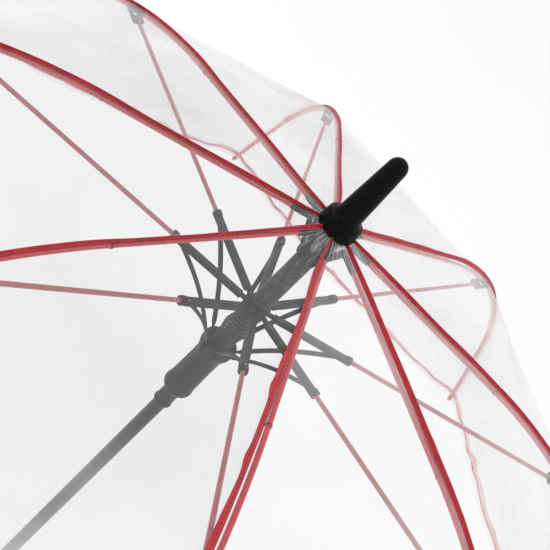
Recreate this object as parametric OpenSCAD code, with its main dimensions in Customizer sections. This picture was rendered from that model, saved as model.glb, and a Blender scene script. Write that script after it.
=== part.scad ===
// Clear dome umbrella with eight fibreglass ribs, a push-button runner and a crook handle.
// Drawn open. Z runs up the shaft, and Z = 0 is the top face of the handle collar.
// Rib 1 lies along +X, and the ribs are numbered anticlockwise seen from above.

/* [Shaft] */
// Outside diameter of the steel tube
shaft_d = 10; // [9:0.1:11]
// Wall of the steel tube
shaft_wall = 0.8; // [0.6:0.1:1.2]
// Height of the crown, where the ribs meet, above the handle collar
crown_h = 560; // [555:1:580]

/* [Ribs] */
// Diameter of the fibreglass rib rod
rib_d = 3.2; // [2.8:0.1:3.4]
// Slope of a rib beside the crown, in degrees below level
slope_in = 8.8; // [8:0.1:10]
// Slope of a rib at its tip, in degrees below level
slope_out = 53; // [48:0.5:56]
// Length of the straight stretch beside the crown
inner_run = 145; // [135:1:155]
// Radius of the bend in the film above a rib
bend_r = 364; // [350:1:380]
// Length of the straight stretch that ends at the tip
outer_run = 114; // [100:1:125]
// Distance from the film to the middle of the rod under it
rod_drop = 2.8; // [2.7:0.1:3.2]

/* [Linkage] */
// Distance along a rib from the shaft's middle to its stretcher clip
clip_at = 240; // [236:1:244]
// Radius of the wire rings that the ribs and the stretchers turn on
ring_r = 7; // [6.9:0.05:7.2]
// Depth of the upper wire ring under the crown
ring_drop = 23.7; // [23:0.1:25]
// Distance from the hub's wire ring to a stretcher's elbow pin
elbow_at = 58; // [56:0.5:60]
// Diameter of the stretcher rod
stretcher_d = 3; // [2.6:0.1:3.2]
// Radius of the runner's wire ring
runner_ring_r = 10.5; // [10.2:0.1:10.8]
// Depth of the runner's wire ring under the crown
runner_drop = 120; // [116:1:124]
// Depth of the runner's lower end under the crown
runner_end = 188; // [184:1:190]

/* [Canopy] */
// Thickness of the clear film
film_t = 0.4; // [0.3:0.1:0.5]
// How far the hem between two ribs hangs past a straight line
hem_drop = 26; // [0:1:30]
// Radius of the hole in the film at the crown
film_hole_r = 14.4; // [14.3:0.1:15]

/* [Ferrule] */
// Length of the ferrule above the crown
ferrule_h = 59.6; // [50:0.1:70]
// Radius of the ferrule's collar
ferrule_collar_r = 13; // [12:0.1:13]

/* [Handle] */
// Radius of the crook's grip
grip_r = 12.5; // [11:0.5:13]
// Radius of the crook's bend, at the middle of the grip
crook_r = 32; // [30:1:40]
// Length from the collar to the crook's bend
grip_len = 66; // [60:1:100]
// Length of the crook's straight tail
tail_len = 22; // [10:1:40]
// Height of the collar that holds the push button
collar_h = 34; // [30:1:40]

/* [Hidden] */
$fn = 48;
rib_count = 8;
rib_step = 360 / rib_count;
shaft_r = shaft_d / 2;
slide_gap = 0.08;
pin_r = 0.8;
eye_r = 0.9;
tongue_t = 1.5;
slot_w = 2;

// The line of the film above a rib, as [radius, height] at a distance s along it,
// lifted by "lift" square to the film.
bend_angle = slope_out - slope_in;
bend_len = bend_r * bend_angle * PI / 180;
rib_len = inner_run + bend_len + outer_run;
line_start = [8, crown_h];
function slope_at(s) = slope_in + bend_angle * min(1, max(0, (s - inner_run) / bend_len));
function normal_at(s) = [sin(slope_at(s)), cos(slope_at(s))];
function run_dir(a) = [cos(a), -sin(a)];
bend_start = line_start + inner_run * run_dir(slope_in);
bend_mid = bend_start - bend_r * [sin(slope_in), cos(slope_in)];
bend_end = bend_mid + bend_r * [sin(slope_out), cos(slope_out)];
function line_at(s) =
    s <= inner_run ? line_start + s * run_dir(slope_in)
    : s <= inner_run + bend_len ? bend_mid + bend_r * normal_at(s)
    : bend_end + (s - inner_run - bend_len) * run_dir(slope_out);
function rib_line(s, lift) = line_at(s) + lift * normal_at(s);

// The pivots, as [radius, height]. The rib's and the stretcher's pins lie at one radius and
// at one distance from the clip, so the hub runs straight down the shaft.
rib_pin = [ring_r, crown_h - ring_drop];
clip_pin = rib_line(clip_at, -rod_drop);
hub_pin = [ring_r, 2 * clip_pin.y - rib_pin.y];
arm_len = norm(clip_pin - hub_pin);
arm_angle = atan2(clip_pin.y - hub_pin.y, clip_pin.x - hub_pin.x);
elbow_pin = hub_pin + elbow_at * [cos(arm_angle), sin(arm_angle)];
runner_pin = [runner_ring_r, crown_h - runner_drop];
link_len = norm(elbow_pin - runner_pin);
link_angle = atan2(runner_pin.y - elbow_pin.y, runner_pin.x - elbow_pin.x);

// Crown, hub and runner heights
notch_top = crown_h - 3.5;
notch_bottom = rib_pin.y - 3.8;
notch_r = 8.6;
hub_top = hub_pin.y + 4;
hub_bottom = hub_pin.y - 6.2;
slot_from = shaft_r - 0.1;
runner_top = runner_pin.y + 3;
spring_pocket = 14;
runner_bottom = crown_h - runner_end;
runner_body_bottom = runner_bottom + 14;
neck_r = 6.9;

// Handle collar, button and latch
mouth_r = 7.6;
mouth_depth = 19;
funnel_depth = 3.5;
funnel_flare = 0.74;
latch_z = -13.8;
latch_t = 1.4;
latch_r = 9.3;
button_travel = 1.5;
latch_room_r = latch_r + button_travel + 0.15;
collar_r = 13;
button_r = 4.2;
shaft_bottom = -90;

module at_rib(i) rotate([0, 0, rib_step * (i - 1)]) children();

// Puts +X of the children along a line that rises by "rise" degrees from the point p.
module along(p, rise) translate([p.x, 0, p.y]) rotate([0, -rise, 0]) children();

module cross_pin(p, r, w) translate([p.x, w / 2, p.y]) rotate([90, 0, 0]) cylinder(r = r, h = w);

module bar_along(p, rise, r, from, to)
    along(p, rise) translate([from, 0, 0]) rotate([0, 90, 0]) cylinder(r = r, h = to - from);

// A round bar that follows the rib's bend, "lift" above the film, between two slopes.
module bent_bar(lift, r, slope_a, slope_b)
    translate([bend_mid.x, 0, bend_mid.y])
    rotate([90, 0, 0])
    rotate([0, 0, 90 - slope_b])
    rotate_extrude(angle = slope_b - slope_a, $fn = 96)
    translate([bend_r + lift, 0])
    circle(r = r, $fn = 24);

module wire_ring(r, z) translate([0, 0, z]) rotate_extrude() translate([r, 0]) circle(r = pin_r, $fn = 24);

module ring_seat(r, z)
    translate([0, 0, z]) rotate_extrude() translate([r, 0]) circle(r = pin_r + 0.05, $fn = 24);

// Eight radial slots, open outwards from radius "from"
module rib_slots(from, to, z, h)
    for (i = [1:rib_count]) at_rib(i) translate([from, -slot_w / 2, z]) cube([to - from, slot_w, h]);

// A wire helix on Z from z_a to z_b, as one closed solid
function ring_point(r, wire_r, a, z, b) = [
    (r + wire_r * cos(b)) * cos(a), (r + wire_r * cos(b)) * sin(a), z + wire_r * sin(b)
];
module helix(r, wire_r, z_a, z_b, turns, steps, sides) {
    rings = turns * steps;
    rise = z_b - z_a - 2 * wire_r;
    points = [
        for (k = [0:rings]) for (j = [0:sides - 1])
            ring_point(r, wire_r, 360 * k / steps, z_a + wire_r + rise * k / rings, 360 * j / sides)
    ];
    walls = [
        for (k = [0:rings - 1]) for (j = [0:sides - 1])
            [k * sides + j, k * sides + (j + 1) % sides, (k + 1) * sides + (j + 1) % sides,
                (k + 1) * sides + j]
    ];
    first_cap = [for (j = [sides - 1:-1:0]) j];
    last_cap = [for (j = [0:sides - 1]) rings * sides + j];
    polyhedron(points, concat([first_cap], walls, [last_cap]), convexity = 8);
}

// Rib, from the crown to the clip: tongue and socket, rod, and the sleeve of the stretcher clip.
// A crimped eye for the film's tie joins its straight start to its bend.
socket_from = 7;
socket_to = 22;
socket_r = 2.3;
sleeve_r = 2.15;
sleeve_in = 15;
sleeve_out = 4;
sleeve_drop = 0.25;
eye_outer_r = 1.8;
rod_inset = 1;
tie_half = 2;
tie_rise = 0.4;
bend_short = tie_half / 2 / bend_r * 180 / PI;
module rib(i) at_rib(i) {
    clip_slope = slope_at(clip_at);
    socket_point = rib_line(socket_from, -rod_drop);
    tongue = socket_point - rib_pin;
    rod_start = rib_line(0, -rod_drop);
    color([0.72, 0.12, 0.16]) {
        bar_along(rod_start, -slope_in, rib_d / 2, socket_to - 8, inner_run - tie_half / 2);
        bar_along(rod_start, -slope_in, rib_d / 2 + tie_rise, inner_run - tie_half, inner_run + tie_half);
        bent_bar(-rod_drop, rib_d / 2, slope_in + bend_short, slope_at(clip_at + sleeve_out - rod_inset));
    }
    color([0.1, 0.1, 0.1]) difference() {
        union() {
            bar_along(rod_start, -slope_in, socket_r, socket_from, socket_to);
            along(rib_pin, atan2(tongue.y, tongue.x))
                translate([0, -tongue_t / 2, -1.7]) cube([norm(tongue) + 0.8, tongue_t, 3.4]);
            cross_pin(rib_pin, eye_outer_r, tongue_t);
        }
        cross_pin(rib_pin, eye_r, tongue_t + 1);
    }
    color([0.25, 0.25, 0.26]) {
        along(clip_pin, -clip_slope)
            translate([-sleeve_in, 0, -sleeve_drop]) rotate([0, 90, 0])
            cylinder(r = sleeve_r, h = sleeve_in + sleeve_out);
        cross_pin(clip_pin, pin_r, 9);
    }
}

// The outer part of a rib, which flexes about the clip as the umbrella closes. A crimped eye for
// the film's tie joins its bend to its straight end.
tip_gap = 5;
tip_cap_len = 8;
module rib_tip(i) at_rib(i) {
    straight_from = rib_line(inner_run + bend_len, -rod_drop);
    color([0.72, 0.12, 0.16]) {
        bent_bar(-rod_drop, rib_d / 2, slope_at(clip_at + tip_gap), slope_out - bend_short);
        bar_along(straight_from, -slope_out, rib_d / 2, tie_half / 2, outer_run - tip_cap_len / 2);
    }
    color([0.1, 0.1, 0.1]) {
        bar_along(straight_from, -slope_out, rib_d / 2 + tie_rise, -tie_half, tie_half);
        bar_along(straight_from, -slope_out, socket_r, outer_run - tip_cap_len, outer_run);
    }
}

// Stretcher: a pressed channel from the hub to the elbow, and a rod from the elbow to the clip.
// The channel is open below and narrower on top, so that eight of them close round the shaft. A
// window in its top leaves room for the eye of the link.
channel_top_w = 4.4;
channel_bottom_w = 5.8;
channel_top = 1.4;
channel_side = 1.6;
channel_wall = 0.7;
channel_from = 6;
channel_to = elbow_at + 3;
joint_to = elbow_at + 6;
joint_r = 3.1;
rod_from = elbow_at + 2.6;
window_r = 1.95;
arm_eye_r = 1.6;

// A straight channel section along +X, "inset" inside the outside faces
module channel_bar(from, to, inset, low, high) {
    lean = (channel_bottom_w - channel_top_w) / 2 / (channel_top + channel_side);
    low_w = channel_top_w / 2 + lean * (channel_top - low) - inset;
    high_w = channel_top_w / 2 + lean * (channel_top - high) - inset;
    translate([from, 0, 0]) rotate([90, 0, 90]) linear_extrude(height = to - from)
        polygon([[-low_w, low], [low_w, low], [high_w, high], [-high_w, high]]);
}

module stretcher_arm(i) at_rib(i) color([0.12, 0.12, 0.12]) {
    difference() {
        union() {
            along(hub_pin, arm_angle) {
                difference() {
                    channel_bar(channel_from, channel_to, 0, -channel_side, channel_top);
                    channel_bar(channel_from + 2, channel_to + 1, channel_wall,
                        -channel_side - 1, channel_top - channel_wall);
                }
                translate([0, -tongue_t / 2, -channel_side])
                    cube([channel_from + 1, tongue_t, channel_side + channel_top]);
                translate([channel_to - 0.5, 0, 0]) rotate([0, 90, 0])
                    cylinder(r = joint_r, h = joint_to - channel_to + 0.5);
            }
            cross_pin(hub_pin, arm_eye_r, tongue_t);
        }
        cross_pin(hub_pin, eye_r, tongue_t + 1);
        cross_pin(elbow_pin, window_r, tongue_t + 0.4);
        bar_along(hub_pin, arm_angle, stretcher_d / 2, rod_from, joint_to + 1);
    }
    cross_pin(elbow_pin, pin_r, channel_top_w);
}

fork_inner = 3;
fork_outer = 4;
fork_len = 10;
fork_eye_r = 1.65;
module stretcher_rod(i) at_rib(i) {
    color([0.72, 0.2, 0.24])
        bar_along(hub_pin, arm_angle, stretcher_d / 2, rod_from, arm_len - fork_len);
    color([0.2, 0.2, 0.21]) difference() {
        union() {
            for (side = [-1, 1]) {
                along(clip_pin, arm_angle)
                    translate([-fork_len, side > 0 ? fork_inner : -fork_outer, -1.6])
                    cube([fork_len, fork_outer - fork_inner, 3.2]);
                translate([clip_pin.x, side > 0 ? fork_outer : -fork_inner, clip_pin.y])
                    rotate([90, 0, 0]) cylinder(r = fork_eye_r, h = fork_outer - fork_inner);
            }
            along(clip_pin, arm_angle) translate([-fork_len - 4, -fork_outer, -1.6])
                cube([5, 2 * fork_outer, 3.2]);
        }
        cross_pin(clip_pin, pin_r + 0.06, 12);
        bar_along(hub_pin, arm_angle, stretcher_d / 2, arm_len - 20, arm_len - fork_len);
    }
}

// Flat link from a stretcher's elbow to the runner. Its lower end stops short of the runner's ring.
link_w = 2.8;
link_t = 1.2;
link_from = 1.2;
link_stop = 1.5;
link_tongue = 6;
link_eye_r = 1.7;
module link_wire(i) at_rib(i) color([0.12, 0.12, 0.12]) difference() {
    union() {
        cross_pin(elbow_pin, link_eye_r, tongue_t);
        along(elbow_pin, link_angle) {
            translate([link_from, -link_w / 2, -link_t / 2])
                cube([link_len - link_tongue - link_from, link_w, link_t]);
            translate([link_len - link_tongue - 1, -tongue_t / 2, -link_t / 2])
                cube([link_tongue + 1 - link_stop, tongue_t, link_t]);
        }
    }
    cross_pin(elbow_pin, eye_r - 0.04, tongue_t + 1);
}

// One eighth of the clear film, centred on a rib: a thin curved sheet cut at the middle of each gore
film_rows = 18;
film_cols = 6;
film_gap = 0.3;
function gore_share(c) = abs(2 * c / film_cols - 1);
function film_s(row, c) =
    (film_hole_r - line_start.x) / cos(slope_in)
    + (rib_len + hem_drop * (1 - pow(1 - gore_share(c), 2))
        - (film_hole_r - line_start.x) / cos(slope_in)) * row / film_rows;
function film_point(row, c, lift) =
    let (p = rib_line(film_s(row, c), lift))
    let (side = sign(c - film_cols / 2) * gore_share(c))
    let (reach = p.x * cos(rib_step / 2))
    [
        p.x + (reach * cos(rib_step / 2) - p.x) * abs(side),
        (reach * sin(rib_step / 2) - film_gap / 2) * side,
        p.y
    ];
module canopy_panel(i) at_rib(i) color([0.93, 0.94, 0.95, 0.3]) {
    per_side = (film_rows + 1) * (film_cols + 1);
    points = [
        for (lift = [film_t / 2, -film_t / 2]) for (row = [0:film_rows]) for (c = [0:film_cols])
            film_point(row, c, lift)
    ];
    top = [
        for (row = [0:film_rows - 1]) for (c = [0:film_cols - 1])
            let (a = row * (film_cols + 1) + c)
            [[a, a + 1, a + film_cols + 2], [a, a + film_cols + 2, a + film_cols + 1]]
    ];
    top_faces = [for (pair = top) for (face = pair) face];
    bottom_faces = [
        for (face = top_faces) [face[2] + per_side, face[1] + per_side, face[0] + per_side]
    ];
    edge = concat(
        [for (c = [0:film_cols - 1]) c],
        [for (row = [0:film_rows - 1]) row * (film_cols + 1) + film_cols],
        [for (c = [film_cols:-1:1]) film_rows * (film_cols + 1) + c],
        [for (row = [film_rows:-1:1]) row * (film_cols + 1)]
    );
    rim_faces = [
        for (k = [0:len(edge) - 1])
            let (a = edge[k])
            let (b = edge[(k + 1) % len(edge)])
            [a, a + per_side, b + per_side, b]
    ];
    polyhedron(points, concat(top_faces, bottom_faces, rim_faces), convexity = 6);
}

module shaft() color([0.14, 0.14, 0.14])
    translate([0, 0, shaft_bottom]) difference() {
        cylinder(r = shaft_r, h = crown_h + 10 - shaft_bottom);
        translate([0, 0, -1]) cylinder(r = shaft_r - shaft_wall, h = crown_h + 12 - shaft_bottom);
    }

// Slotted crown that the ribs turn in, with its wire ring
module top_notch() color([0.2, 0.2, 0.2]) {
    difference() {
        translate([0, 0, notch_bottom]) cylinder(r = notch_r, h = notch_top - notch_bottom);
        translate([0, 0, notch_bottom - 1]) cylinder(r = shaft_r, h = notch_top - notch_bottom + 2);
        rib_slots(slot_from, 12, notch_bottom - 1, notch_top - notch_bottom - 2);
        ring_seat(ring_r, rib_pin.y);
    }
    wire_ring(ring_r, rib_pin.y);
}

// Cap over the top of the shaft: a collar that clamps the film, and a tapered finger
finger_base_r = 8.3;
finger_tip_r = 6;
module ferrule_cap() color([0.06, 0.06, 0.06]) {
    finger_from = crown_h + 12;
    tip_z = crown_h + ferrule_h - finger_tip_r;
    difference() {
        union() {
            translate([0, 0, notch_top]) cylinder(r1 = ferrule_collar_r - 1.4, r2 = ferrule_collar_r, h = 1.4);
            translate([0, 0, notch_top + 1.4])
                cylinder(r1 = ferrule_collar_r, r2 = ferrule_collar_r - 0.9, h = crown_h + 9.4 - notch_top - 1.4);
            translate([0, 0, crown_h + 9.4])
                cylinder(r1 = ferrule_collar_r - 0.9, r2 = finger_base_r + 0.5, h = finger_from - crown_h - 9.4);
            translate([0, 0, finger_from])
                cylinder(r1 = finger_base_r, r2 = finger_tip_r, h = tip_z - finger_from);
            translate([0, 0, tip_z]) sphere(r = finger_tip_r);
        }
        translate([0, 0, notch_top - 1]) cylinder(r = shaft_r, h = crown_h + 10 - notch_top + 1);
    }
}

module upper_spring() color([0.16, 0.16, 0.16])
    helix(6.05, 0.65, hub_top + 0.3, notch_bottom - 0.3, 26, 10, 6);

// Sliding hub that the stretchers turn in, with its wire ring
module stretcher_hub() color([0.16, 0.16, 0.16]) {
    difference() {
        translate([0, 0, hub_bottom]) cylinder(r = notch_r, h = hub_top - hub_bottom);
        translate([0, 0, hub_bottom - 1]) cylinder(r = shaft_r + slide_gap, h = hub_top - hub_bottom + 2);
        rib_slots(slot_from, 12, hub_bottom + 2, hub_top - hub_bottom);
        ring_seat(ring_r, hub_pin.y);
    }
    wire_ring(ring_r, hub_pin.y);
}

// Runner that the hand pulls down, with its wire ring, its spring pocket and the neck that latches
module runner() color([0.13, 0.13, 0.13]) {
    flare_bottom = runner_pin.y - 4;
    body_top = flare_bottom - 5;
    difference() {
        union() {
            translate([0, 0, flare_bottom]) cylinder(r = 12.4, h = runner_top - flare_bottom);
            translate([0, 0, body_top]) cylinder(r1 = 9.6, r2 = 12.4, h = flare_bottom - body_top);
            translate([0, 0, runner_body_bottom + 5])
                cylinder(r1 = 10.4, r2 = 9.6, h = body_top - runner_body_bottom - 5);
            translate([0, 0, runner_body_bottom])
                cylinder(r1 = 7.4, r2 = 10.4, h = 5);
            translate([0, 0, runner_bottom]) cylinder(r = neck_r - 0.7, h = runner_body_bottom - runner_bottom);
            translate([0, 0, runner_bottom]) cylinder(r = neck_r, h = 2);
        }
        translate([0, 0, runner_bottom - 1]) cylinder(r = shaft_r + slide_gap, h = runner_end);
        translate([0, 0, runner_top - spring_pocket]) cylinder(r = 7.7, h = spring_pocket + 1);
        rib_slots(9.2, 14, runner_pin.y - 2, 10);
        ring_seat(runner_ring_r, runner_pin.y);
    }
    wire_ring(runner_ring_r, runner_pin.y);
}

module main_spring() color([0.18, 0.18, 0.18])
    helix(6.65, 0.7, runner_top - spring_pocket + 0.2, hub_bottom - 0.2, 13, 12, 6);

// Crook handle, with the blind socket that holds the shaft
module handle() color([0.08, 0.08, 0.08]) {
    bend_z = -collar_h - grip_len;
    difference() {
        union() {
            translate([0, 0, bend_z]) cylinder(r = grip_r, h = grip_len);
            translate([crook_r, 0, bend_z]) rotate([90, 0, 0]) rotate([0, 0, 180])
                rotate_extrude(angle = 180, $fn = 96) translate([crook_r, 0]) circle(r = grip_r);
            translate([2 * crook_r, 0, bend_z]) cylinder(r = grip_r, h = tail_len);
            translate([2 * crook_r, 0, bend_z + tail_len]) sphere(r = grip_r);
        }
        translate([0, 0, shaft_bottom]) cylinder(r = shaft_r, h = -collar_h - shaft_bottom + 1);
    }
}

// Collar at the top of the handle: the mouth that takes the runner's neck, and the button's window
module handle_collar() color([0.1, 0.1, 0.1]) difference() {
    union() {
        translate([0, 0, -collar_h]) cylinder(r = collar_r, h = collar_h - 1.5);
        translate([0, 0, -1.5]) cylinder(r1 = collar_r, r2 = collar_r - 1.5, h = 1.5);
    }
    translate([0, 0, -collar_h - 1]) cylinder(r = shaft_r, h = collar_h + 2);
    translate([0, 0, -mouth_depth]) cylinder(r = mouth_r, h = mouth_depth + 1);
    translate([0, 0, -funnel_depth])
        cylinder(r1 = mouth_r, r2 = mouth_r + funnel_flare * (funnel_depth + 0.5), h = funnel_depth + 0.5);
    translate([0, 0, latch_z - latch_t / 2 - 0.3]) cylinder(r = latch_room_r, h = latch_t + 0.6);
    translate([mouth_r - 1, 0, latch_z]) rotate([0, 90, 0]) cylinder(r = button_r + 0.15, h = collar_r);
}

module push_button() color([0.16, 0.16, 0.17])
    translate([latch_r + 0.05, 0, latch_z]) rotate([0, 90, 0]) {
        cylinder(r = button_r, h = collar_r - latch_r + 1.2);
        translate([0, 0, collar_r - latch_r + 1.2]) cylinder(r1 = button_r, r2 = button_r - 1, h = 1);
    }

// Ring-shaped plate round the runner's neck, which the button pushes across
module latch_plate() color([0.6, 0.6, 0.62])
    translate([0, 0, latch_z - latch_t / 2]) linear_extrude(height = latch_t) difference() {
        circle(r = latch_r);
        circle(r = neck_r + 0.15);
        translate([button_travel, 0]) circle(r = neck_r + 0.15);
        translate([0, -neck_r - 0.15]) square([button_travel, 2 * (neck_r + 0.15)]);
    }

// Bowed wire behind the latch plate, which pushes the button back out
module button_spring() color([0.7, 0.7, 0.72])
    translate([0, 0, latch_z]) rotate([0, 0, 140])
    rotate_extrude(angle = 80) translate([latch_r + 0.85, 0]) circle(r = 0.4, $fn = 16);

rib(1);  // rib_1
rib(2);  // rib_2
rib(3);  // rib_3
rib(4);  // rib_4
rib(5);  // rib_5
rib(6);  // rib_6
rib(7);  // rib_7
rib(8);  // rib_8
rib_tip(1);  // rib_tip_1
rib_tip(2);  // rib_tip_2
rib_tip(3);  // rib_tip_3
rib_tip(4);  // rib_tip_4
rib_tip(5);  // rib_tip_5
rib_tip(6);  // rib_tip_6
rib_tip(7);  // rib_tip_7
rib_tip(8);  // rib_tip_8
stretcher_rod(1);  // stretcher_rod_1
stretcher_rod(2);  // stretcher_rod_2
stretcher_rod(3);  // stretcher_rod_3
stretcher_rod(4);  // stretcher_rod_4
stretcher_rod(5);  // stretcher_rod_5
stretcher_rod(6);  // stretcher_rod_6
stretcher_rod(7);  // stretcher_rod_7
stretcher_rod(8);  // stretcher_rod_8
stretcher_arm(1);  // stretcher_arm_1
stretcher_arm(2);  // stretcher_arm_2
stretcher_arm(3);  // stretcher_arm_3
stretcher_arm(4);  // stretcher_arm_4
stretcher_arm(5);  // stretcher_arm_5
stretcher_arm(6);  // stretcher_arm_6
stretcher_arm(7);  // stretcher_arm_7
stretcher_arm(8);  // stretcher_arm_8
link_wire(1);  // link_wire_1
link_wire(2);  // link_wire_2
link_wire(3);  // link_wire_3
link_wire(4);  // link_wire_4
link_wire(5);  // link_wire_5
link_wire(6);  // link_wire_6
link_wire(7);  // link_wire_7
link_wire(8);  // link_wire_8
canopy_panel(1);  // canopy_panel_1
canopy_panel(2);  // canopy_panel_2
canopy_panel(3);  // canopy_panel_3
canopy_panel(4);  // canopy_panel_4
canopy_panel(5);  // canopy_panel_5
canopy_panel(6);  // canopy_panel_6
canopy_panel(7);  // canopy_panel_7
canopy_panel(8);  // canopy_panel_8
shaft();
top_notch();
ferrule_cap();
upper_spring();
stretcher_hub();
runner();
main_spring();
handle();
handle_collar();
push_button();
button_spring();
latch_plate();
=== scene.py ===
"""Looks of the clear dome umbrella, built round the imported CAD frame.

Everything is in metres in the frame's own axes. A rib's pieces are made in the rib's own plane,
with x outwards, y to the side and z up, and then turned round the shaft to the rib's place.
"""

import math

import bmesh
import bpy
from mathutils import Matrix, Vector, noise


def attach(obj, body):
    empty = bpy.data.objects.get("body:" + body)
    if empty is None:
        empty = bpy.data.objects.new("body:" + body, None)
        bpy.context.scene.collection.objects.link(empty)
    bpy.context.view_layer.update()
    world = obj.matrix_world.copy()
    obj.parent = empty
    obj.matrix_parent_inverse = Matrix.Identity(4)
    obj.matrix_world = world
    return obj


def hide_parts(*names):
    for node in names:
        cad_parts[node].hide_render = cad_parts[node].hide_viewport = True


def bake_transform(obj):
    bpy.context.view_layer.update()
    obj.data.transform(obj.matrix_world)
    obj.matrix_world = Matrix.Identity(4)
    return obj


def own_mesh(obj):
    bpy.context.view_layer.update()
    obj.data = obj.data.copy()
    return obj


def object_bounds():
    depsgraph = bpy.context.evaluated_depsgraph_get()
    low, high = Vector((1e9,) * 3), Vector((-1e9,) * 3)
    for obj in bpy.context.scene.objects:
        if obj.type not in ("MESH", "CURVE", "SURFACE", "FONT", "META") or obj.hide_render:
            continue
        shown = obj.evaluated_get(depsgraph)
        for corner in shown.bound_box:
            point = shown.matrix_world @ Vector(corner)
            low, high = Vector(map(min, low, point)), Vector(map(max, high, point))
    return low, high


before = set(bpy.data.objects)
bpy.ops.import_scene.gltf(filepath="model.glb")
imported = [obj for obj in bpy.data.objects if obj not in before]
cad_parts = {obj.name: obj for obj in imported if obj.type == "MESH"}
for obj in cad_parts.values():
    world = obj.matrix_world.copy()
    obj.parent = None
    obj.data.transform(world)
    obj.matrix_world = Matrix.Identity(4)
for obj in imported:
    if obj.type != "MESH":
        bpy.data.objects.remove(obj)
CAD_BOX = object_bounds()

MM = 0.001
RIBS = 8
RIB_STEP = 2 * math.pi / RIBS
HALF_STEP = RIB_STEP / 2

# The film's line over a rib: a straight start, a bend and a straight end, as in the CAD source
LINE_START = (8 * MM, 560 * MM)
SLOPE_IN = math.radians(8.8)
SLOPE_OUT = math.radians(53)
INNER_RUN = 145 * MM
BEND_R = 364 * MM
OUTER_RUN = 114 * MM
BEND_LEN = BEND_R * (SLOPE_OUT - SLOPE_IN)
RIB_LEN = INNER_RUN + BEND_LEN + OUTER_RUN
CLIP_AT = 240 * MM
ROD_DROP = 2.8 * MM
ROD_R = 1.6 * MM
SOCKET = (7 * MM, 22 * MM)
SOCKET_R = 2.3 * MM
SLEEVE_R = 2.15 * MM
HEM_DROP = 26 * MM
FILM_FROM = 5.0 * MM

# The linkage's pins at rest, as (radius, height)
RIB_PIN = Vector((7, 0, 536.3)) * MM
ELBOW_PIN = Vector((64.601, 0, 487.897)) * MM
RUNNER_PIN = Vector((10.5, 0, 440)) * MM


# ---------------------------------------------------------------- the rib's line


def slope_at(s):
    return SLOPE_IN + (SLOPE_OUT - SLOPE_IN) * min(1.0, max(0.0, (s - INNER_RUN) / BEND_LEN))


def line_at(s):
    """Radius and height of the film's line at a distance s along the rib."""
    x, z = LINE_START
    run = min(s, INNER_RUN)
    x, z = x + run * math.cos(SLOPE_IN), z - run * math.sin(SLOPE_IN)
    if s > INNER_RUN:
        slope = slope_at(s)
        x += BEND_R * (math.sin(slope) - math.sin(SLOPE_IN))
        z += BEND_R * (math.cos(slope) - math.cos(SLOPE_IN))
    if s > INNER_RUN + BEND_LEN:
        rest = s - INNER_RUN - BEND_LEN
        x, z = x + rest * math.cos(SLOPE_OUT), z - rest * math.sin(SLOPE_OUT)
    return x, z


def rib_point(s, side=0.0, lift=0.0):
    """A point near the rib's line: s along it, side across it, lift square to the film."""
    x, z = line_at(s)
    slope = slope_at(s)
    return Vector((x + lift * math.sin(slope), side, z + lift * math.cos(slope)))


def turn(i):
    """Puts a rib's own plane at rib i."""
    return Matrix.Rotation(RIB_STEP * (i - 1), 4, "Z")


def steps(start, end, count):
    return [start + (end - start) * k / count for k in range(count + 1)]


def ease(t):
    t = min(1.0, max(0.0, t))
    return t * t * (3 - 2 * t)


# ---------------------------------------------------------------- mesh helpers


def make_piece(name, points, faces, material, smooth=True):
    mesh = bpy.data.meshes.new(name)
    mesh.from_pydata([tuple(p) for p in points], [], faces)
    mesh.validate()
    mesh.update()
    if smooth:
        mesh.polygons.foreach_set("use_smooth", [True] * len(mesh.polygons))
    mesh.materials.append(material)
    piece = bpy.data.objects.new(name, mesh)
    bpy.context.scene.collection.objects.link(piece)
    return piece


def loft(rings, caps=True):
    """Points and faces of a closed solid through rings of equally many points."""
    n = len(rings[0])
    points = [p for ring in rings for p in ring]
    faces = []
    for k in range(len(rings) - 1):
        for j in range(n):
            a, b = k * n + j, k * n + (j + 1) % n
            faces.append((a, b, b + n, a + n))
    if caps:
        faces.append(tuple(range(n - 1, -1, -1)))
        faces.append(tuple(range((len(rings) - 1) * n, len(rings) * n)))
    return points, faces


def join_meshes(parts):
    """Several (points, faces) as one."""
    points, faces = [], []
    for more_points, more_faces in parts:
        base = len(points)
        points += more_points
        faces += [tuple(base + v for v in face) for face in more_faces]
    return points, faces


def circle(n):
    return [(math.cos(2 * math.pi * j / n), math.sin(2 * math.pi * j / n)) for j in range(n)]


def along_rib(profile, lift, sides=16, squeeze=1.0):
    """Rings round the rib's line: profile is (s, radius) pairs, squeeze flattens them up and down."""
    return [
        [rib_point(s, r * c, lift + r * squeeze * d) for c, d in circle(sides)]
        for s, r in profile
    ]


def between(start, end, profile, sides=16, flat=1.0):
    """Rings along the straight line from start to end: profile is (distance, radius) pairs."""
    axis = (end - start).normalized()
    side = axis.cross(Vector((0, 0, 1)))
    if side.length < 1e-6:
        side = Vector((0, 1, 0))
    side.normalize()
    up = side.cross(axis)
    return [
        [start + axis * d + side * (r * c) + up * (r * flat * e) for c, e in circle(sides)]
        for d, r in profile
    ]


def put(points, matrix):
    return [matrix @ Vector(p) for p in points]


def smooth_edges(piece, angle=35):
    """Sharp where two faces meet at more than the angle, smooth elsewhere."""
    piece.data.polygons.foreach_set("use_smooth", [True] * len(piece.data.polygons))
    with bpy.context.temp_override(object=piece, active_object=piece, selected_objects=[piece],
                                   selected_editable_objects=[piece]):
        bpy.ops.object.shade_smooth_by_angle(angle=math.radians(angle))


# ---------------------------------------------------------------- materials


def new_material(name, **values):
    """A Principled material, with its even values set on the shader's own sockets."""
    material = bpy.data.materials.new(name)
    material.use_nodes = True
    shader = material.node_tree.nodes["Principled BSDF"]
    for key, value in values.items():
        shader.inputs[key.replace("_", " ")].default_value = value
    return material, material.node_tree, shader


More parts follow.
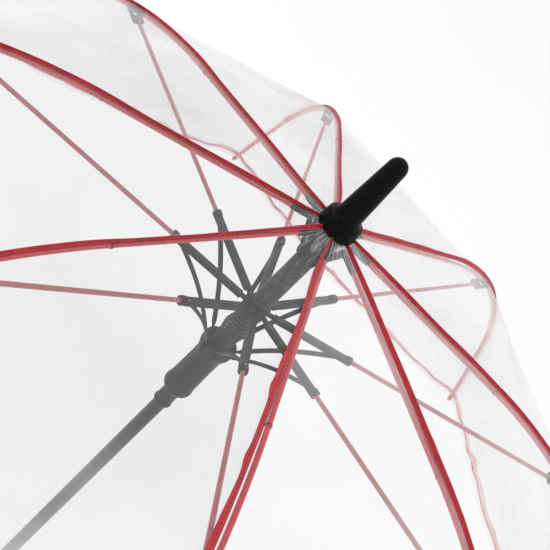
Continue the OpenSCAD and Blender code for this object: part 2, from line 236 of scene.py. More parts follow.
def add_node(tree, kind, **values):
    node = tree.nodes.new(kind)
    for key, value in values.items():
        if key in node.inputs:
            node.inputs[key].default_value = value
        else:
            setattr(node, key, value)
    return node


def noise_mask(tree, scale, low, high, detail=4.0, stretch=(1, 1, 1)):
    """A noise in the object's own coordinates, remapped from low to high."""
    place = add_node(tree, "ShaderNodeTexCoord")
    mapping = add_node(tree, "ShaderNodeMapping")
    mapping.inputs["Scale"].default_value = stretch
    texture = add_node(tree, "ShaderNodeTexNoise", Scale=scale, Detail=detail)
    remap = add_node(tree, "ShaderNodeMapRange")
    remap.inputs["From Min"].default_value = 0.3
    remap.inputs["From Max"].default_value = 0.7
    remap.inputs["To Min"].default_value = low
    remap.inputs["To Max"].default_value = high
    tree.links.new(place.outputs["Object"], mapping.inputs["Vector"])
    tree.links.new(mapping.outputs["Vector"], texture.inputs["Vector"])
    tree.links.new(texture.outputs["Fac"], remap.inputs["Value"])
    return remap.outputs["Result"]


def add_bump(tree, shader, height, strength, distance):
    bump = add_node(tree, "ShaderNodeBump", Strength=strength, Distance=distance)
    tree.links.new(height, bump.inputs["Height"])
    tree.links.new(bump.outputs["Normal"], shader.inputs["Normal"])
    return bump


def blend_colours(tree, factor, first, second):
    mix = add_node(tree, "ShaderNodeMix", data_type="RGBA")
    colour_in = [socket for socket in mix.inputs if socket.type == "RGBA"]
    colour_in[0].default_value = (*first, 1)
    colour_in[1].default_value = (*second, 1)
    tree.links.new(factor, mix.inputs["Factor"])
    return [socket for socket in mix.outputs if socket.type == "RGBA"][0]


def two_tone(tree, shader, mask, dark, light):
    tree.links.new(blend_colours(tree, mask, dark, light), shader.inputs["Base Color"])


def maths(tree, operation, first, second, clamp=False):
    """One sum of two values, each a number or another node's output."""
    node = add_node(tree, "ShaderNodeMath", operation=operation, use_clamp=clamp)
    for socket, value in zip(node.inputs, (first, second)):
        if isinstance(value, (int, float)):
            socket.default_value = value
        else:
            tree.links.new(value, socket)
    return node.outputs[0]


def film_material():
    """Clear plastic film: a thin grey veil, partly painted reflection and shade, and painted glare: paler
    edge on, in smears and in creases.
    """
    material, tree, shader = new_material("clear_film", Roughness=0.12, IOR=1.5)
    # Paler edge on: a painted reflection.
    facing = add_node(tree, "ShaderNodeLayerWeight", Blend=0.5).outputs["Facing"]
    edge = maths(tree, "MULTIPLY", maths(tree, "POWER", facing, 4.0), 1.2)
    edge = maths(tree, "MINIMUM", edge, 0.38)
    # The veil: partly the film's own cloudiness, partly painted reflection and shade set gore by gore.
    cloud_and_shading = add_node(tree, "ShaderNodeAttribute", attribute_name="veil").outputs["Fac"]
    veil = maths(tree, "MULTIPLY", cloud_and_shading, noise_mask(tree, 9.0, 0.85, 1.15))
    # Painted glare: glints in creases, highlight lines beside the seams and brighter film towards the hem,
    # broken into smears.
    shine = add_node(tree, "ShaderNodeAttribute", attribute_name="painted_glare").outputs["Fac"]
    glare_smear = maths(tree, "MULTIPLY", noise_mask(tree, 8.0, -0.4, 0.75, 5.0, (1, 1, 0.45)), shine)
    glare = maths(tree, "MAXIMUM", maths(tree, "ADD", maths(tree, "MULTIPLY", shine, 0.5), glare_smear), 0.0)
    painted_light = maths(tree, "ADD", edge, glare)
    total = maths(tree, "ADD", veil, painted_light, clamp=True)
    tree.links.new(total, shader.inputs["Alpha"])
    share = maths(tree, "DIVIDE", painted_light, maths(tree, "ADD", veil, painted_light))
    # The pale colour is painted glare and reflection, broken into streaks; the grey colour is the veil's.
    glare_streaking = noise_mask(tree, 13.0, 0.6, 1.3, 5.0, (1, 0.4, 1))
    streaks = maths(tree, "MULTIPLY", share, glare_streaking, clamp=True)
    colour = blend_colours(tree, streaks, (0.35, 0.36, 0.365), (0.9, 0.9, 0.905))
    tree.links.new(colour, shader.inputs["Base Color"])
    add_bump(tree, shader, noise_mask(tree, 26.0, 0, 1, 2.0), 0.1, 0.001)
    return material


def tape_material():
    """Red bias tape, with its weave."""
    material, tree, shader = new_material("red_tape", Roughness=0.42, Specular_IOR_Level=0.35)
    two_tone(tree, shader, noise_mask(tree, 160.0, 0, 1), (0.36, 0.01, 0.019), (0.54, 0.022, 0.035))
    add_bump(tree, shader, noise_mask(tree, 1800.0, 0, 1, 1.0), 0.35, 0.0002)
    return material


def hem_material():
    """The hem's thin, puckered red tape, which lets the light through."""
    material, tree, shader = new_material("red_hem", Roughness=0.38)
    two_tone(tree, shader, noise_mask(tree, 90.0, 0, 1), (0.70, 0.07, 0.11), (0.86, 0.18, 0.23))
    tree.links.new(noise_mask(tree, 55.0, 0.7, 0.97), shader.inputs["Alpha"])
    add_bump(tree, shader, noise_mask(tree, 260.0, 0, 1, 2.0), 0.5, 0.0005)
    return material


def rosette_material():
    """Milky soft plastic."""
    material, tree, shader = new_material("milky_plastic", Roughness=0.35)
    two_tone(tree, shader, noise_mask(tree, 120.0, 0, 1), (0.38, 0.39, 0.40), (0.52, 0.53, 0.54))
    tree.links.new(noise_mask(tree, 200.0, 0.26, 0.4), shader.inputs["Alpha"])
    add_bump(tree, shader, noise_mask(tree, 500.0, 0, 1, 2.0), 0.3, 0.0003)
    return material


def rod_material(name, dark, light):
    """Red fibreglass rod: glossy, with streaks along it."""
    material, tree, shader = new_material(
        name, Roughness=0.22, Coat_Weight=0.5, Coat_Roughness=0.08, IOR=1.52,
    )
    two_tone(tree, shader, noise_mask(tree, 220.0, 0, 1), dark, light)
    add_bump(tree, shader, noise_mask(tree, 900.0, 0, 1, 2.0), 0.12, 0.0002)
    return material


def plastic_material(name, dark, light, roughness, grain, specular=0.3):
    """Moulded black plastic with a fine grain and faint scuffs."""
    material, tree, shader = new_material(name, Specular_IOR_Level=specular)
    two_tone(tree, shader, noise_mask(tree, 70.0, 0, 1), dark, light)
    tree.links.new(noise_mask(tree, 120.0, roughness - 0.06, roughness + 0.08),
                   shader.inputs["Roughness"])
    add_bump(tree, shader, noise_mask(tree, grain, 0, 1, 2.0), 0.2, 0.00015)
    return material


def steel_material(name, colour, roughness, metallic=1.0):
    """Painted or phosphated steel with fine scratches along it."""
    material, tree, shader = new_material(name, Metallic=metallic)
    light = tuple(min(1.0, c * 1.5) for c in colour)
    two_tone(tree, shader, noise_mask(tree, 60.0, 0, 1, stretch=(8, 8, 1)), colour, light)
    tree.links.new(noise_mask(tree, 240.0, roughness - 0.07, roughness + 0.07),
                   shader.inputs["Roughness"])
    add_bump(tree, shader, noise_mask(tree, 700.0, 0, 1, 2.0, (6, 6, 1)), 0.12, 0.0001)
    return material


def thread_material():
    material, tree, shader = new_material("thread", Roughness=0.6, Specular_IOR_Level=0.2)
    two_tone(tree, shader, noise_mask(tree, 900.0, 0, 1), (0.16, 0.008, 0.014), (0.30, 0.03, 0.04))
    return material


FILM = film_material()
TAPE = tape_material()
HEM = hem_material()
ROD = rod_material("red_rod", (0.50, 0.008, 0.016), (0.66, 0.03, 0.04))
STAY = rod_material("red_stay", (0.42, 0.08, 0.10), (0.52, 0.14, 0.16))
BLACK = plastic_material("black_plastic", (0.006, 0.006, 0.007), (0.012, 0.012, 0.013), 0.45, 1500.0)
FERRULE = plastic_material(
    "black_ferrule", (0.002, 0.002, 0.002), (0.004, 0.004, 0.004), 0.42, 1200.0, 0.07
)
GRIP = plastic_material("grip_rubber", (0.008, 0.008, 0.009), (0.018, 0.018, 0.019), 0.62, 2200.0, 0.25)
STEEL = steel_material("black_steel", (0.02, 0.02, 0.021), 0.35, 0.3)
SPRING = steel_material("spring_steel", (0.06, 0.06, 0.062), 0.34, 0.8)
BRIGHT = steel_material("bright_steel", (0.45, 0.45, 0.46), 0.3, 1.0)
THREAD = thread_material()
ROSETTE = rosette_material()


# ---------------------------------------------------------------- camera, floor and lights

CAMERA_AT = Vector((-0.243195, 0.457888, 0.828905))
CAMERA_TARGET = Vector((0.0243048, -0.0320659, 0.4822922))
CAMERA_ROLL = 0.787381
CAMERA_LENS = 65.27


def make_camera():
    forward = (CAMERA_TARGET - CAMERA_AT).normalized()
    right = forward.cross(Vector((0, 0, 1))).normalized()
    up = right.cross(forward)
    cos, sin = math.cos(CAMERA_ROLL), math.sin(CAMERA_ROLL)
    x, y = right * cos + up * sin, up * cos - right * sin
    data = bpy.data.cameras.new("camera")
    data.lens = CAMERA_LENS
    data.sensor_width = 36
    data.clip_start, data.clip_end = 0.01, 100
    camera = bpy.data.objects.new("camera", data)
    bpy.context.scene.collection.objects.link(camera)
    camera.matrix_world = Matrix(
        [(x[k], y[k], -forward[k], CAMERA_AT[k]) for k in range(3)] + [(0, 0, 0, 1)]
    )
    bpy.context.scene.camera = camera


def make_floor():
    """A pale floor, just under the lowest point of the object."""
    material, tree, shader = new_material("floor", Roughness=0.8, Specular_IOR_Level=0.0)
    two_tone(tree, shader, noise_mask(tree, 2.0, 0, 1), (0.965, 0.965, 0.965), (0.975, 0.975, 0.975))
    z = CAD_BOX[0].z - 0.5 * MM
    rings = [[Vector((r * c, r * d, z)) for c, d in circle(48)] for r in (0.02, 1, 4, 12)]
    points, faces = loft(rings, caps=False)
    faces.append(tuple(range(48)))
    floor = make_piece("floor", points, [face[::-1] for face in faces[:-1]] + [faces[-1]], material)


# Each light as (place, what it faces, size, power in watts)
KEY_LIGHT = ((1.4, -0.9, 2.6), (0, 0, 0.4), 0.5, 4)
FILL_LIGHT = ((-1.8, -0.4, 1.9), (0, 0, 0.4), 1.0, 1.5)
WORLD_STRENGTH = 0.985


def add_light(name, place, target, size, power):
    data = bpy.data.lights.new(name, "AREA")
    data.shape = "DISK"
    data.size = size
    data.energy = power
    light = bpy.data.objects.new(name, data)
    bpy.context.scene.collection.objects.link(light)
    light.location = place
    light.rotation_euler = (Vector(target) - Vector(place)).to_track_quat("-Z", "Y").to_euler()


def make_lights():
    world = bpy.data.worlds.new("studio")
    world.use_nodes = True
    background = world.node_tree.nodes["Background"]
    background.inputs["Color"].default_value = (1, 1, 1, 1)
    background.inputs["Strength"].default_value = WORLD_STRENGTH
    bpy.context.scene.world = world
    add_light("key", *KEY_LIGHT)
    add_light("fill", *FILL_LIGHT)
    bpy.context.scene.view_settings.view_transform = "Standard"


# ---------------------------------------------------------------- the film

FILM_ROWS = 64
FILM_COLS = 44
CUT_BOW = 31 * MM


def cut_at(share):
    """Where the film's inner and outer parts meet, nearest to the rib's flexing point."""
    return CLIP_AT + CUT_BOW * share


def film_end(share):
    return RIB_LEN + HEM_DROP * (1 - (1 - share) ** 2)


def film_point(s, across):
    """A point of the film over a rib, from -1 to 1 across its two half gores, in the rib's plane."""
    share = abs(across)
    x, z = line_at(s)
    reach = x * math.cos(HALF_STEP)
    outwards = x + (reach * math.cos(HALF_STEP) - x) * share
    point = Vector((outwards, reach * math.sin(HALF_STEP) * across, z))
    slope = slope_at(s)
    around = across * HALF_STEP
    level = math.sin(slope)
    normal = Vector((level * math.cos(around), level * math.sin(around), math.cos(slope)))
    return point, normal


def ripple(s, across, where):
    """How far the film stands off its plain shape: pleats at the crown, soft waves, a wavy hem."""
    share = abs(across)
    crown = math.exp(-(s - FILM_FROM) / (34 * MM))
    pleats = 0.7 * MM * crown * math.sin(math.pi * share) * math.sin(8 * math.pi * across + 1)
    soft = noise.noise(where * 9) * 2.6 * MM * math.sin(math.pi * share) * ease(s / (180 * MM))
    fine = noise.noise(where * 34 + Vector((5, 0, 0))) * 0.3 * MM * ease(share * 3)
    near_hem = ease((s - RIB_LEN + 45 * MM) / (50 * MM))
    pucker = noise.noise(Vector((across * 9, where.z * 6, 3.1 + where.x * 4)))
    hem = 4.5 * MM * near_hem * math.sin(math.pi * share) ** 0.5 * pucker
    return pleats + soft + fine * ease(s / (60 * MM)) + hem


# A grey veil, partly painted reflection and shade, and a painted glare for the gores after ribs 1 to 8, set
# to match the photo's view
GORE_VEIL_AND_SHADING = (0.15, 0.19, 0.20, 0.06, 0.06, 0.05, 0.05, 0.10)
GORE_SHINE = (0.06, 0.02, 0.0, 0.26, 0.20, 0.13, 0.10, 0.06)
# Painted glare towards the hem: full on two gores and a share of it on the others.
LOW_FROM = 185 * MM
LOW_RUN = 100 * MM
LOW_GLARE = 0.97
GLARE_GORES = (1, 2)
OTHER_GORES_SHARE = 0.4


def gore_of(i, across):
    return (i - 1 if across > 0 else i - 2) % RIBS


def lowness(s):
    """From 0 near the crown to 1 down towards the hem."""
    return ease((s - LOW_FROM) / LOW_RUN)


def from_rib(s, across):
    """The distance to the side of the rib."""
    return across * line_at(s)[0] * math.sin(HALF_STEP)


def veil_and_shading_at(i, s, across):
    """How cloudy the film is, with painted reflection and shade in its strength gore by gore: less where it
    lies on a rod.
    """
    from_rod = from_rib(s, across)
    veil = GORE_VEIL_AND_SHADING[gore_of(i, across)] * (1 - 0.5 * lowness(s))
    return veil * (1 - 0.65 * math.exp(-(from_rod / (2.4 * MM)) ** 2))


def glare_at(i, s, across):
    """How bright the film's painted glare is: painted glints in creases at the crown and a painted
    highlight line beside a seam, more towards the hem.
    """
    spread = math.exp(-(s - FILM_FROM) / (26 * MM))
    wander = 9 * noise.noise(Vector((s * 18, i, across)))
    crease = max(0.0, math.sin(8 * math.pi * across + 1.9 * i + wander))
    crown = 0.85 * spread * crease ** 9
    from_seam = from_rib(s, across) - seam_slip(i, s)
    seam = 0.8 * math.exp(-((from_seam + 1.7 * MM) / (0.6 * MM)) ** 2)
    seam *= 0.5 + noise.noise(Vector((s * 22, i * 5.1, across)))
    gore_share = 1 if gore_of(i, across) in GLARE_GORES else OTHER_GORES_SHARE
    low = LOW_GLARE * lowness(s) ** 2 * gore_share
    plain = GORE_SHINE[gore_of(i, across)] * min(1.0, abs(from_seam) / (4 * MM))
    return max(0.0, crown + max(0.0, seam) + max(low, plain))


def film_place(i, s, across):
    point, normal = film_point(s, across)
    return point + normal * ripple(s, across, turn(i) @ point)


def film_columns():
    """Even steps across the two half gores, closer together beside the seam."""
    return [math.copysign(abs(a) ** 1.8, a) for a in steps(-1, 1, FILM_COLS)]


def film_piece(i, name, start, end):
    """A film part of rib i, from start(share) to end(share) along the rib."""
    points, painted_glare, veil = [], [], []
    for t in steps(0, 1, FILM_ROWS):
        for across in film_columns():
            share = abs(across)
            s = start(share) + (end(share) - start(share)) * t
            points.append(turn(i) @ film_place(i, s, across))
            # Painted glare at each point of the film.
            painted_glare.append(glare_at(i, s, across))
            veil.append(veil_and_shading_at(i, s, across))
    row = FILM_COLS + 1
    faces = [
        (r * row + c, (r + 1) * row + c, (r + 1) * row + c + 1, r * row + c + 1)
        for r in range(FILM_ROWS) for c in range(FILM_COLS)
    ]
    piece = make_piece(name, points, faces, FILM)
    for kind, values in (("painted_glare", painted_glare), ("veil", veil)):
        piece.data.attributes.new(kind, "FLOAT", "POINT").data.foreach_set("value", values)
    return piece


def fold_soft(piece, body):
    """Rides on the body, with a mesh of its own."""
    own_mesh(piece)
    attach(piece, body)
    return piece


# The hem tape's section in mm: along the film past its edge, and square to it
HEM_SECTION = [
    (-14.5, 0.35), (-9.5, 1.2), (-4.6, 2.6), (-0.6, 4.8), (1.2, 6.8),
    (1.8, 6.6), (0.8, 4.4), (-3.0, 1.9), (-8.6, 0.5), (-14.5, -0.3),
]
HEM_STEPS = 72


def hem_piece(i):
    """The tape folded over the film's lower edge, slightly puckered."""
    rings = []
    for across in steps(-1, 1, HEM_STEPS):
        share = abs(across)
        wander = 1.6 * noise.noise(Vector((across * 14, i * 4.1, 7)))
        wander *= ease((1 - share) * 6)
        s_edge = film_end(share)
        ring = []
        flare = 1.3 + 0.7 * noise.noise(Vector((across * 8, i * 2.3, 0)))
        for along, lift in HEM_SECTION:
            lift *= flare
            s = s_edge + (along + wander * (along < -5)) * MM
            normal = film_point(s, across)[1]
            ring.append(film_place(i, s, across) + normal * (lift * MM))
        rings.append(ring)
    points, faces = loft(rings, caps=True)
    piece = make_piece(f"hem_{i}", put(points, turn(i)), faces, HEM)
    return fold_soft(piece, f"rib_tip_{i}")


# ---------------------------------------------------------------- the binding over each seam

FIN_H = 2.3 * MM
FIN_SECTION = [
    (-0.34, -1.1), (-0.42, -0.4), (-0.4, 0.3), (-0.36, 1.0), (-0.34, 1.7), (-0.24, 2.15), (0, 2.32),
    (0.24, 2.15), (0.34, 1.7), (0.36, 1.0), (0.4, 0.3), (0.42, -0.4), (0.34, -1.1),
]
# Where the seam has slipped sideways off its rod, and how far its fin leans over, in mm
SEAM_SLIP = {4: -3.9, 5: 0.4}
FIN_LEAN = {1: 0.8, 2: 1.0, 4: -4.2, 5: 1.5, 6: 0.6, 7: 1.6}
TUCKS_AT = (128, 171)


def fin_lean(i, s, height):
    """How far the fin's top wanders to the side."""
    wander = noise.noise(Vector((s * 28, i * 3.7, 0.5))) * 1.6 * MM
    near_crown = math.sin(s / (16 * MM) + i) * 0.8 * MM * math.exp(-s / (60 * MM))
    return (wander + near_crown) * max(0.0, height / FIN_H) ** 1.5


def seam_slip(i, s):
    """Less at the crown and at the hem, where the seam is held."""
    off_rod = 0.55 + 0.45 * ease((s - 90 * MM) / (90 * MM))
    at_crown = min(1.0, s / (14 * MM))
    at_hem = min(1.0, (RIB_LEN - s) / (40 * MM))
    return SEAM_SLIP.get(i, 0) * MM * off_rod * at_crown * at_hem


def fin_point(i, s, side, height):
    tucks = sum(math.exp(-((s - at * MM) / (5 * MM)) ** 2) for at in TUCKS_AT)
    free = min(1.0, s / (40 * MM)) * (1 + 0.25 * tucks)
    lean = FIN_LEAN.get(i, 0) * MM * max(0.0, height / FIN_H) * free
    return rib_point(s, side + seam_slip(i, s) + lean + fin_lean(i, s, height), height)


def fin_piece(i):
    rings = []
    for s in steps(5.2 * MM, RIB_LEN + 0.5 * MM, 150):
        rings.append([fin_point(i, s, y * MM, n * MM) for y, n in FIN_SECTION])
    points, faces = loft(rings)
    return make_piece(f"binding_{i}", put(points, turn(i)), faces, TAPE)


def stitch_piece(i):
    """Two rows of thread on the fin, one on each side."""
    parts = []
    pitch, stitch, thread = 2.6 * MM, 1.3 * MM, 0.17 * MM
    height = 1.3 * MM
    for side in (-1, 1):
        count = int((RIB_LEN - 16 * MM) / pitch)
        for k in range(count):
            s = 9 * MM + k * pitch
            rings = []
            for t, r in ((0, 0.3), (0.2, 1), (0.8, 1), (1, 0.3)):
                at = s + stitch * t
                centre = 0.34 * MM + thread * 0.4
                rings.append([
                    fin_point(i, at, side * (centre + thread * r * c), height + thread * r * d)
                    for c, d in circle(5)
                ])
            parts.append(loft(rings))
    points, faces = join_meshes(parts)
    return make_piece(f"stitching_{i}", put(points, turn(i)), faces, THREAD)


# ---------------------------------------------------------------- a rib's hard parts


BEND_BEFORE_CLIP = 14 * MM
BEND_PAST_CLIP = 30 * MM


def bend_with_rib(piece, i):
    """Bakes the piece's place into its mesh; the two points round the clip are found but not used."""
    start = turn(i) @ rib_point(CLIP_AT - BEND_BEFORE_CLIP)
    end = turn(i) @ rib_point(CLIP_AT + BEND_PAST_CLIP)
    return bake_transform(piece)


def rod_piece(i):
    profile = [(s, ROD_R) for s in steps(SOCKET[1] - 6 * MM, RIB_LEN - 3 * MM, 160)]
    points, faces = loft(along_rib(profile, -ROD_DROP))
    return make_piece(f"rib_rod_{i}", put(points, turn(i)), faces, ROD)


def socket_piece(i):
    """The black crown socket, with its tongue to the rib's pin."""
    start, end = SOCKET
    r = SOCKET_R
    profile = [(start, r * 0.6), (start + 1 * MM, r * 0.95), (start + 3 * MM, r), (end - 4 * MM, r),
               (end - 1 * MM, r * 0.93), (end, r * 0.82), (end, ROD_R)]
    shell = loft(along_rib(profile, -ROD_DROP, 20))
    neck = rib_point(start + 2 * MM, 0, -ROD_DROP)
    bar = between(RIB_PIN, neck, [(-1.6 * MM, 0.5 * MM), (-1.0 * MM, 1.4 * MM), (0, 1.8 * MM),
                                  (2 * MM, 1.75 * MM), ((neck - RIB_PIN).length, 1.75 * MM)], 12)
    for ring in bar:
        for point in ring:
            point.y *= 0.4
    tongue = loft(bar)
    points, faces = join_meshes([shell, tongue])
    return make_piece(f"crown_socket_{i}", put(points, turn(i)), faces, BLACK)


def clip_piece(i):
    """The black sleeve that the stretcher's fork grips, with its pin."""
    r = SLEEVE_R
    s0, s1 = CLIP_AT - 15 * MM, CLIP_AT + 4 * MM
    profile = [
        (s0, ROD_R), (s0, r * 0.85), (s0 + 1 * MM, r), (s1 - 1 * MM, r), (s1, r * 0.85), (s1, ROD_R),
    ]
    shell = loft(along_rib(profile, -ROD_DROP, 20))
    centre = rib_point(CLIP_AT, 0, -ROD_DROP)
    w = 4.6 * MM
    pin_rings = between(centre - Vector((0, w, 0)), centre + Vector((0, w, 0)),
                        [(0, 0.9 * MM), (0.3 * MM, 1.25 * MM), (0.6 * MM, 1.25 * MM), (0.6 * MM, 0.8 * MM),
                         (2 * w - 0.6 * MM, 0.8 * MM), (2 * w - 0.6 * MM, 1.25 * MM),
                         (2 * w - 0.3 * MM, 1.25 * MM), (2 * w, 0.9 * MM)], 12)
    points, faces = join_meshes([shell, loft(pin_rings)])
    return make_piece(f"clip_sleeve_{i}", put(points, turn(i)), faces, BLACK)


def tip_piece(i):
    """The red cap on the rib's end, with the crimped eye where the film is tied."""
    r = SOCKET_R
    s0, s1 = RIB_LEN - 8 * MM, RIB_LEN
    cap = [(s0, ROD_R), (s0, r * 0.9), (s0 + 0.8 * MM, r), (s1 - 1.6 * MM, r), (s1 - 0.6 * MM, r * 0.85),
           (s1, r * 0.45)]
    eye_at = INNER_RUN + BEND_LEN
    eye = [(eye_at - 2 * MM, ROD_R), (eye_at - 1.7 * MM, 2 * MM), (eye_at + 1.7 * MM, 2 * MM),
           (eye_at + 2 * MM, ROD_R)]
    shells = [loft(along_rib(profile, -ROD_DROP, 20)) for profile in (cap, eye)]
    points, faces = join_meshes(shells)
    return make_piece(f"rib_end_{i}", put(points, turn(i)), faces, ROD)


def tie_piece(i, s, body):
    """Thread that ties the film's seam to the rod."""
    parts = []
    for k in range(3):
        at = s + (k - 1) * 0.55 * MM
        rings = []
        count = 20
        for j in range(count):
            angle = 2 * math.pi * j / count
            r_in = ROD_R + 0.2 * MM
            centre = rib_point(at, r_in * math.cos(angle), -ROD_DROP + r_in * math.sin(angle))
            outward = (centre - rib_point(at, 0, -ROD_DROP)).normalized()
            forward = (rib_point(at + 1 * MM) - rib_point(at)).normalized()
            rings.append([centre + (outward * c + forward * d) * 0.2 * MM for c, d in circle(6)])
        rings.append(rings[0])
        parts.append(loft(rings, caps=False))
    points, faces = join_meshes(parts)
    piece = make_piece(f"tie_{body}_{round(s / MM)}", put(points, turn(i)), faces, TAPE)
    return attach(piece, body)


def rib_parts(i):
    rod = bend_with_rib(rod_piece(i), i)
    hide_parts(f"rib_{i}", f"rib_tip_{i}")
    for piece, body, slot in (
        (socket_piece(i), f"rib_{i}", "black_plastic"), (clip_piece(i), f"rib_{i}", "black_plastic"),
        (tip_piece(i), f"rib_tip_{i}", "red_fibreglass"),
    ):
        smooth_edges(piece)
        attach(piece, body)
    tie_piece(i, INNER_RUN, f"rib_{i}")
    tie_piece(i, INNER_RUN + BEND_LEN, f"rib_tip_{i}")


def film_parts(i):
    binding = bend_with_rib(fin_piece(i), i)
    stitching = bend_with_rib(stitch_piece(i), i)
    hem = hem_piece(i)
    inner = film_piece(i, f"film_inner_{i}", lambda share: FILM_FROM, cut_at)
    outer = film_piece(i, f"film_outer_{i}", cut_at, film_end)
    fold_soft(inner, f"rib_{i}")
    fold_soft(outer, f"rib_tip_{i}")
    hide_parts(f"canopy_panel_{i}")


# ---------------------------------------------------------------- the linkage and the middle


LINK_BOW = 3.4 * MM


def link_piece(i):
    """The bowed flat link from the elbow to the runner."""
    path = RUNNER_PIN - ELBOW_PIN
    axis = path.normalized()
    up = Vector((axis.z, 0, -axis.x))
    rings = []
    for t in steps(-0.025, 0.985, 30):
        centre = ELBOW_PIN + path * t + up * (LINK_BOW * math.sin(math.pi * min(1, max(0, t))))
        slim = 0.42 + 0.58 * ease(min(t + 0.02, 0.985 - t) / 0.09)
        rings.append([
            centre + Vector((0, 1.5 * MM * c * slim, 0)) + up * (1.05 * MM * d * slim)
            for c, d in rounded_box(4)
        ])
    points, faces = loft(rings)
    piece = make_piece(f"link_{i}", put(points, turn(i)), faces, BLACK)
    smooth_edges(piece)
    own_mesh(piece)
    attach(piece, f"link_{i}")
    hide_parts(f"link_wire_{i}")


def rounded_box(per_corner):
    """A square with rounded corners, from -1 to 1."""
    ring = []
    for corner in range(4):
        middle = (corner + 0.5) * math.pi / 2
        for k in range(per_corner):
            angle = middle + (k / (per_corner - 1) - 0.5) * math.pi / 2
            ring.append((
                0.7 * math.copysign(1, math.cos(middle)) + 0.3 * math.cos(angle),
                0.7 * math.copysign(1, math.sin(middle)) + 0.3 * math.sin(angle),
            ))
    return ring


def coil(radius, wire, low, high, turns, bulge):
    """Rings of a coil spring: bulge(share, angle) moves the wire outwards."""
    per_turn = 28
    rings = []
    for k in range(int(turns * per_turn) + 1):
        share = k / (turns * per_turn)
        angle = 2 * math.pi * k / per_turn
        out = Vector((math.cos(angle), math.sin(angle), 0))
        centre = out * (radius + bulge(share, angle)) + Vector((0, 0, low + (high - low) * share))
        rings.append([centre + (out * c + Vector((0, 0, d))) * wire for c, d in circle(8)])
    return rings


# Each spring as (radius, wire radius, lower end, upper end, turns)
UPPER_COIL = (6.0 * MM, 0.72 * MM, 486.2 * MM, 531.4 * MM, 22)
MAIN_COIL = (6.75 * MM, 0.8 * MM, 430.1 * MM, 474.0 * MM, 15)


def even(share, angle):
    """The bulge of a coil that has none."""
    return 0.0


def spring_parts():
    upper = make_piece("upper_coil", *loft(coil(*UPPER_COIL, even)), SPRING)
    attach(upper, "root")
    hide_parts("upper_spring")

    def loose(share, angle):
        side = 0.5 + 0.5 * math.cos(2 * (angle - 0.45))
        return 1.6 * MM * math.exp(-((share - 0.66) / 0.13) ** 2) * side

    main = make_piece("main_coil", *loft(coil(*MAIN_COIL, loose)), SPRING)
    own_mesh(main)
    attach(main, "hub")
    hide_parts("main_spring")


def button_spring_parts():
    """The bowed wire behind the latch plate."""
    radius, wire, height = 10.15 * MM, 0.4 * MM, -13.8 * MM
    rings = []
    for angle in steps(math.radians(140), math.radians(220), 32):
        out = Vector((math.cos(angle), math.sin(angle), 0))
        centre = out * radius + Vector((0, 0, height))
        rings.append([centre + (out * c + Vector((0, 0, d))) * wire for c, d in circle(12)])
    bow = make_piece("button_bow", *loft(rings), BRIGHT)
    smooth_edges(bow)
    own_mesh(bow)
    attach(bow, "root")
    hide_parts("button_spring")


def lathe_piece(name, profile, body, material, sides=96, shape=None):
    """A turned solid: profile is (radius, height) in mm, shape(angle, radius, height) carves it."""
    rings = []
    for r, z in profile:
        ring = []
        for c, d in circle(sides):
            radius = shape(math.atan2(d, c), r, z) if shape else r
            ring.append(Vector((radius * c, radius * d, z)) * MM)
        rings.append(ring)
    points, faces = loft(rings + [rings[0]], caps=False)
    faces = [face[::-1] for face in faces]
    piece = make_piece(name, points, faces, material)
    weld(piece)
    smooth_edges(piece)
    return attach(piece, body)


def weld(piece):
    """Joins the points that lie on one another, and turns the faces outwards."""
    mesh = bmesh.new()
    mesh.from_mesh(piece.data)
    bmesh.ops.remove_doubles(mesh, verts=mesh.verts, dist=1e-6)
    bmesh.ops.recalc_face_normals(mesh, faces=mesh.faces)
    mesh.to_mesh(piece.data)
    mesh.free()


FERRULE_PROFILE = [
    (5.02, 556.5), (10.4, 556.5), (11.6, 556.7), (12.4, 557.3), (12.9, 558.4), (13.0, 560), (12.9, 563),
    (12.65, 566.5), (12.35, 568.4), (11.8, 569.3), (11.0, 569.7), (10.1, 569.9), (9.7, 570.4), (9.4, 571.0),
    (8.9, 571.5), (8.5, 572.2), (8.3, 573.4), (8.15, 577), (7.6, 588), (7.0, 600), (6.45, 611),
]
FERRULE_TIP = (612.6, 6.35, 6.8)


def ferrule_parts():
    height, radius, rise = FERRULE_TIP
    tip = [
        (radius * math.cos(a), height + rise * math.sin(a)) for a in steps(0, math.radians(86), 12)
    ]
    inside = [(0.05, height + rise), (0.05, 570.2), (5.02, 570.2)]
    piece = lathe_piece("ferrule", FERRULE_PROFILE + tip + inside, "root", FERRULE)
    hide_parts("ferrule_cap")


RUNNER_PROFILE = [
    (5.1, 372.0), (6.4, 372.0), (6.8, 372.4), (6.85, 373.6), (6.4, 374.3), (6.2, 375.2), (6.2, 385.4),
    (6.5, 386.0), (7.3, 386.2), (8.3, 387.5), (9.4, 389.0), (10.3, 390.2), (10.8, 391.6), (10.9, 393.4),
    (10.5, 395.6), (10.15, 397.5), (10.0, 404), (9.8, 416), (9.75, 428), (10.2, 430.6), (11.4, 433.8),
    (12.2, 436.0), (12.4, 437.4), (12.4, 441.8), (12.1, 442.7), (11.5, 443.0), (9.7, 443.0), (9.4, 442.4),
    (9.2, 439.5), (7.9, 435), (7.8, 429.2), (5.1, 429.2),
]


def slotted(angle, radius, height):
    """The runner's top is slotted for the links."""
    off = (angle + HALF_STEP) % RIB_STEP - HALF_STEP
    in_slot = abs(off) * 12 < 1.15 and height > 433
    return min(radius, 10.0) if in_slot and radius > 9.8 else radius


RUNNER_RING = (10.5 * MM, 0.8 * MM, 440 * MM, 440 * MM, 1)


def runner_parts():
    piece = lathe_piece("runner_shell", RUNNER_PROFILE, "runner", BLACK, 240, slotted)
    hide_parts("runner")
    ring = make_piece("runner_ring", *loft(coil(*RUNNER_RING, even)), STEEL)
    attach(ring, "runner")


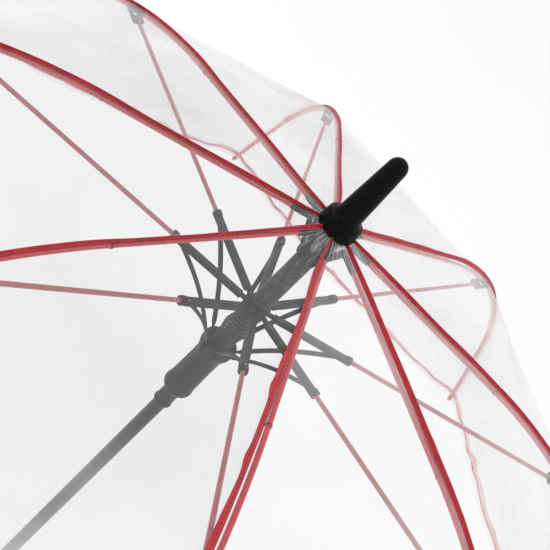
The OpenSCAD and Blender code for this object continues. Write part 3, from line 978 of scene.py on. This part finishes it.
def rosette_parts():
    """The milky collar under the film at the crown, cut into petals between the ribs."""
    parts = []
    for k in range(RIBS):
        middle = (k + 0.5) * RIB_STEP
        rings = []
        for t in steps(-1, 1, 10):
            angle = middle + t * math.radians(14)
            out = Vector((math.cos(angle), math.sin(angle), 0))
            drop = 13.5 - 2.4 * t * t
            rings.append([
                out * (radius * MM) + Vector((0, 0, z * MM))
                for radius, z in ((9.6, 556.2), (11.2, 555.6), (11.5, 553), (10.6, 556 - drop),
                                  (10.1, 556 - drop), (10.8, 553), (10.6, 554.6), (9.6, 555.2))
            ])
        parts.append(loft(rings))
    piece = make_piece("crown_rosette", *join_meshes(parts), ROSETTE)
    smooth_edges(piece)
    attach(piece, "root")


# ---------------------------------------------------------------- the handle


def crook_path():
    """The grip's middle line with the way it runs: down, round the bend, and up the tail."""
    low, bend, tail = -100 * MM, 32 * MM, 22 * MM
    path = [(Vector((0, 0, z)), Vector((0, 0, -1))) for z in steps(-34 * MM, low, 22)]
    for angle in steps(0, math.pi, 48)[1:]:
        at = Vector((bend - bend * math.cos(angle), 0, low - bend * math.sin(angle)))
        path.append((at, Vector((math.sin(angle), 0, -math.cos(angle)))))
    path += [(Vector((2 * bend, 0, low + z)), Vector((0, 0, 1))) for z in steps(0, tail, 8)[1:]]
    return path


def handle_parts():
    """The crook's grip, with a soft bead at its top, a swell for the palm and a domed end."""
    full = 12.5 * MM
    rings = []
    path = crook_path()
    for k, (at, way) in enumerate(path):
        share = k / (len(path) - 1)
        r = full * (0.955 + 0.045 * ease(share * 5))
        if k < 3:
            r = full * (0.9, 0.99, 0.985)[k]
        side = Vector((0, 1, 0))
        rings.append([at + (side * c + way.cross(side) * d) * r for c, d in circle(40)])
    end, way = path[-1]
    for angle in steps(0, math.radians(88), 10)[1:]:
        side = Vector((0, 1, 0))
        at = end + way * (full * math.sin(angle))
        r = full * math.cos(angle)
        rings.append([at + (side * c + way.cross(side) * d) * r for c, d in circle(40)])
    piece = make_piece("grip", *loft(rings), GRIP)
    weld(piece)
    smooth_edges(piece, 50)
    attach(piece, "root")
    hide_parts("handle")


# ---------------------------------------------------------------- carried-over parts


def dress(node, material, angle=35):
    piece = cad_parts[node]
    piece.data.materials.clear()
    piece.data.materials.append(material)
    smooth_edges(piece, angle)


FORK_REACH = 17 * MM
FORK_FACE = 60 * MM * MM


def darken_fork(i):
    """The fork on a stretcher rod is black steel."""
    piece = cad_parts[f"stretcher_rod_{i}"]
    piece.data.materials.append(BLACK)
    clip = turn(i) @ rib_point(CLIP_AT, 0, -ROD_DROP)
    for face in piece.data.polygons:
        middle = piece.matrix_world @ face.center
        if (middle - clip).length < FORK_REACH and face.area < FORK_FACE:
            face.material_index = 1


def dress_cad():
    for i in range(1, RIBS + 1):
        dress(f"stretcher_rod_{i}", STAY)
        dress(f"stretcher_arm_{i}", BLACK)
        darken_fork(i)
    for node, material, slot in (
        ("shaft", STEEL, "black_steel"), ("top_notch", BLACK, "black_plastic"),
        ("stretcher_hub", BLACK, "black_plastic"),
        ("handle_collar", BLACK, "black_plastic"), ("push_button", BLACK, "black_plastic"),
        ("latch_plate", BRIGHT, "spring_steel"),
    ):
        dress(node, material)


make_camera()
make_floor()
make_lights()
dress_cad()
for rib in range(1, RIBS + 1):
    rib_parts(rib)
    film_parts(rib)
    link_piece(rib)
spring_parts()
button_spring_parts()
ferrule_parts()
runner_parts()
rosette_parts()
handle_parts()
